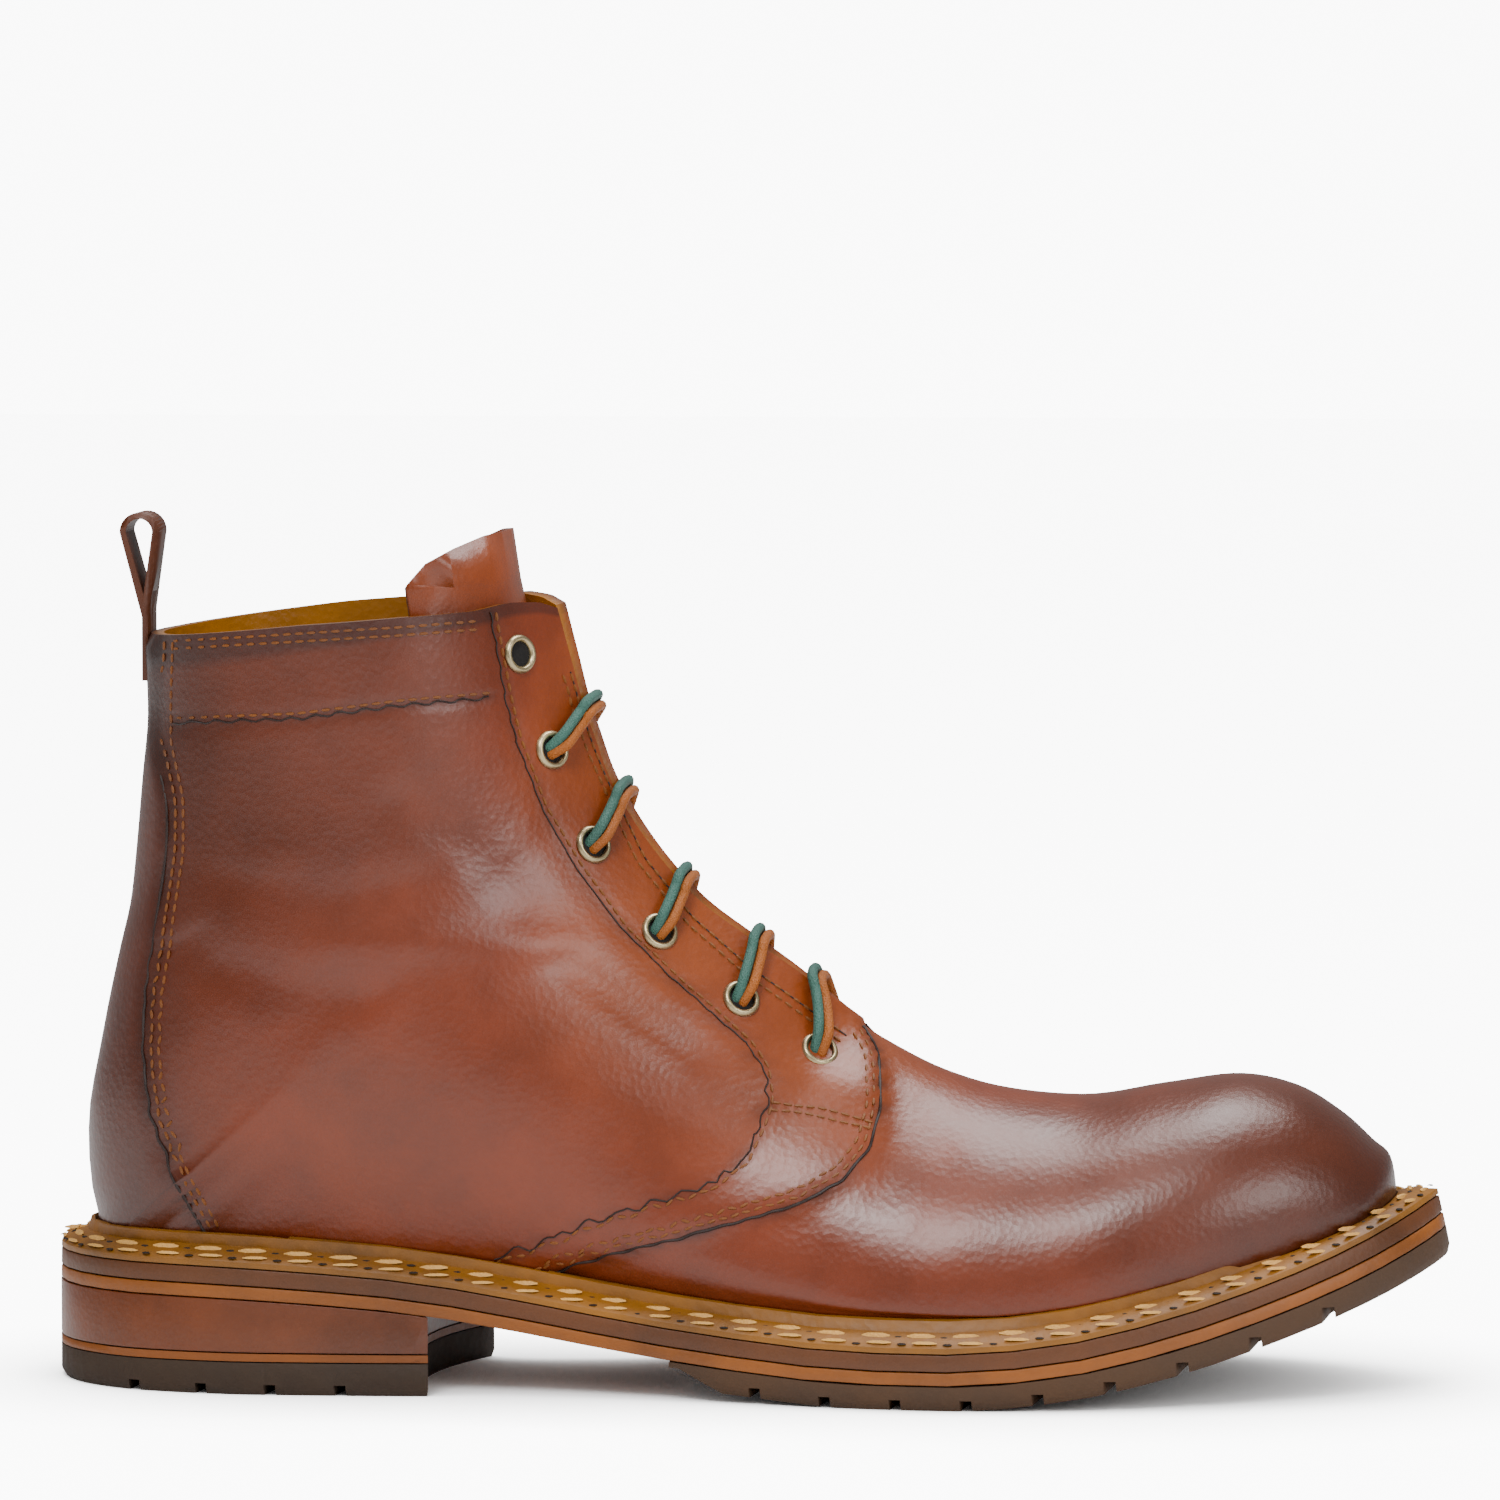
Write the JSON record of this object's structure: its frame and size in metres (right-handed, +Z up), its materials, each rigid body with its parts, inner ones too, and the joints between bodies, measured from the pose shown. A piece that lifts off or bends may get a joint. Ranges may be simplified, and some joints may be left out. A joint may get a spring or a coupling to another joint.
{
  "type": "lace-up ankle boot",
  "caption": "Open lace-up ankle boot for a right foot, with a tongue, eyelets, lace bars, a back pull loop, a welted leather sole and a stacked heel.",
  "frame": {"origin": "bottom centre of the bounding box, on the ground", "axes": "+X from heel to toe, +Y to the inner side of the foot, +Z up"},
  "size_m": [0.3142, 0.1068, 0.1957],
  "materials": {
    "upper_leather": "satin",
    "counter_leather": "satin",
    "tongue_leather": "satin",
    "sole_leather": "satin",
    "midsole_leather": "satin",
    "welt_leather": "satin",
    "heel_leather": "satin",
    "rubber": "matte",
    "brass": "antique",
    "lace_green": "matte",
    "lace_brown": "matte"
  },
  "bodies": {
    "root": {"top_lift": "rubber", "heel_thin_lift": "sole_leather", "heel_block": "heel_leather", "outsole_forepart": "rubber", "leather_sole": "sole_leather", "midsole": "midsole_leather", "storm_welt": "welt_leather", "insole": "welt_leather", "upper": "upper_leather", "tongue": "tongue_leather", "backstay": "counter_leather", "pull_loop": "upper_leather", "eyelet_outer_1": "brass", "eyelet_inner_1": "brass", "eyelet_outer_2": "brass", "eyelet_inner_2": "brass", "lace_green_2": "lace_green", "lace_brown_2": "lace_brown", "eyelet_outer_3": "brass", "eyelet_inner_3": "brass", "lace_green_3": "lace_green", "lace_brown_3": "lace_brown", "eyelet_outer_4": "brass", "eyelet_inner_4": "brass", "lace_green_4": "lace_green", "lace_brown_4": "lace_brown", "eyelet_outer_5": "brass", "eyelet_inner_5": "brass", "lace_green_5": "lace_green", "lace_brown_5": "lace_brown", "eyelet_outer_6": "brass", "eyelet_inner_6": "brass", "lace_green_6": "lace_green", "lace_brown_6": "lace_brown"}
  },
  "joints": []
}
